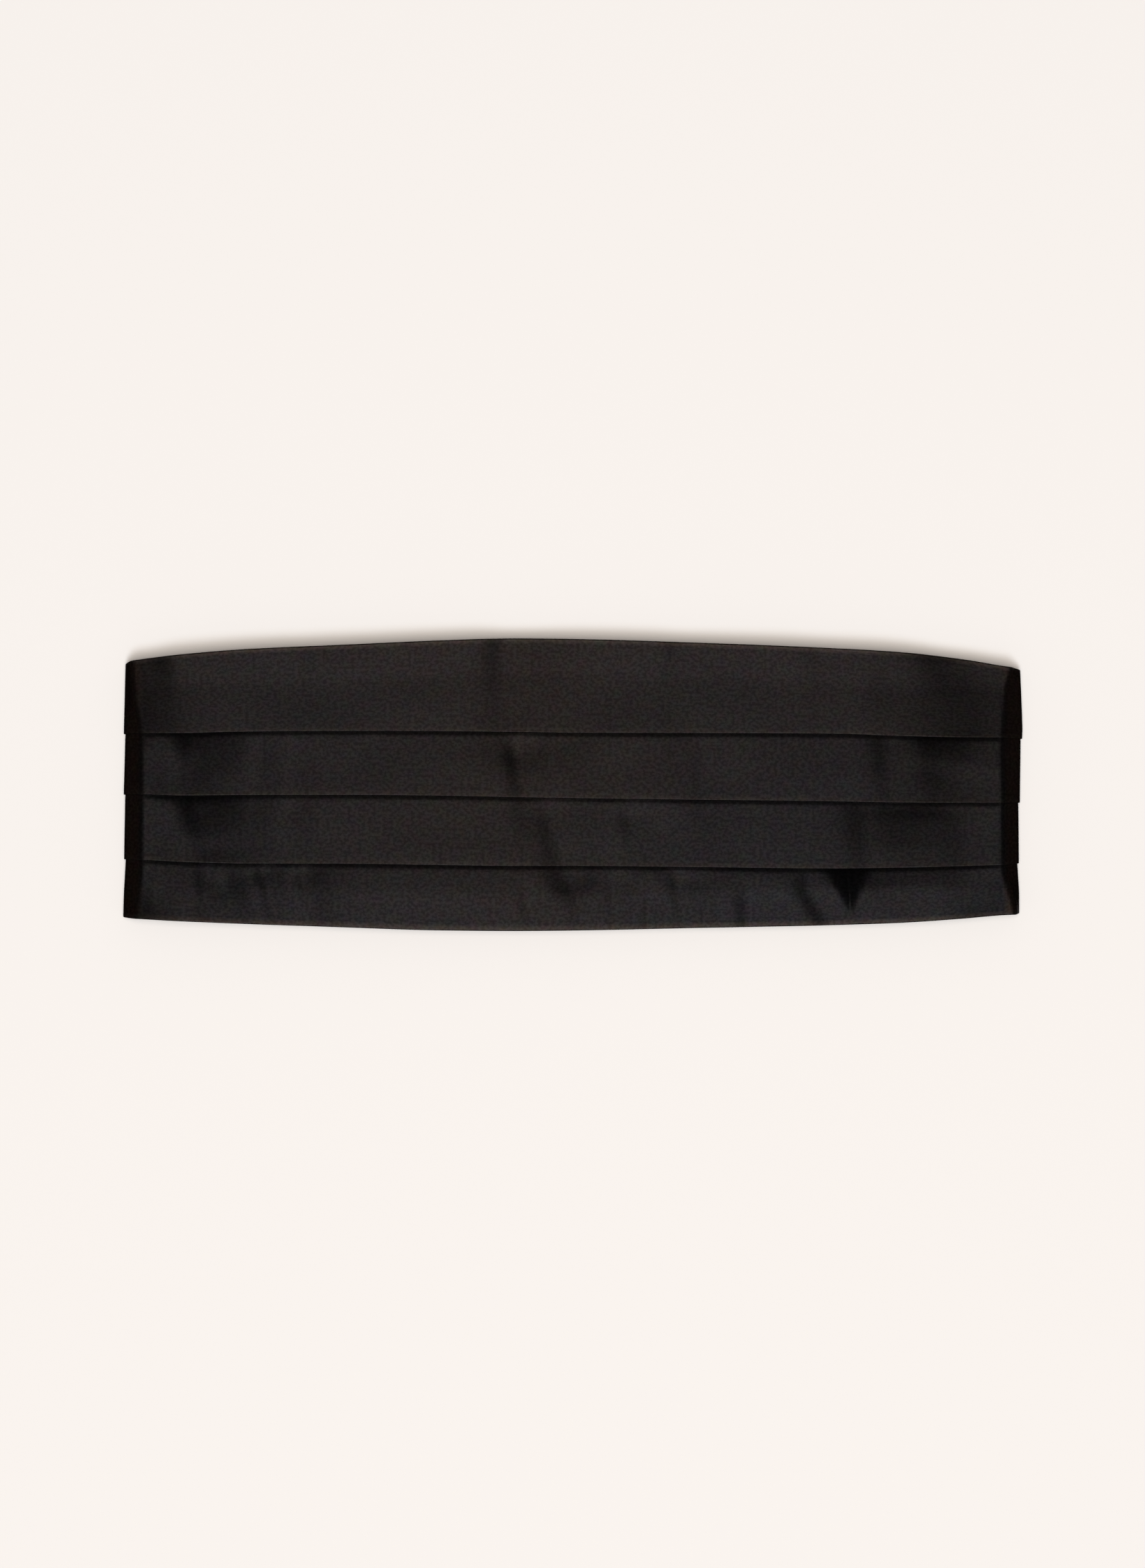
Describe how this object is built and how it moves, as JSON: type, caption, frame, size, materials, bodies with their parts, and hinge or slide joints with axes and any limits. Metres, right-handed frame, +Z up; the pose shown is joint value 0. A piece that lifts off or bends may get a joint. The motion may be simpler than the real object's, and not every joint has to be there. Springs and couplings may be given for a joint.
{
  "type": "cummerbund",
  "caption": "Pleated black satin cummerbund, fastened behind with a strap, slide and clasp, laid flat with its front up.",
  "frame": {"origin": "on the surface, under the middle of the laid cummerbund", "axes": "+X to the right along the front, +Y towards its top edge, +Z up from the surface, out of the front"},
  "size_m": [0.4, 0.1298, 0.0154],
  "materials": {
    "satin": "black satin with a soft sheen",
    "ribbon": "matt black ribbed ribbon",
    "black_metal": "semi-gloss black lacquer"
  },
  "bodies": {
    "root": {"pleated_panel": "satin", "left_strap": "ribbon", "right_strap": "ribbon", "strap_slide": "black_metal", "clasp_hook": "black_metal", "clasp_eye": "black_metal"}
  },
  "joints": []
}
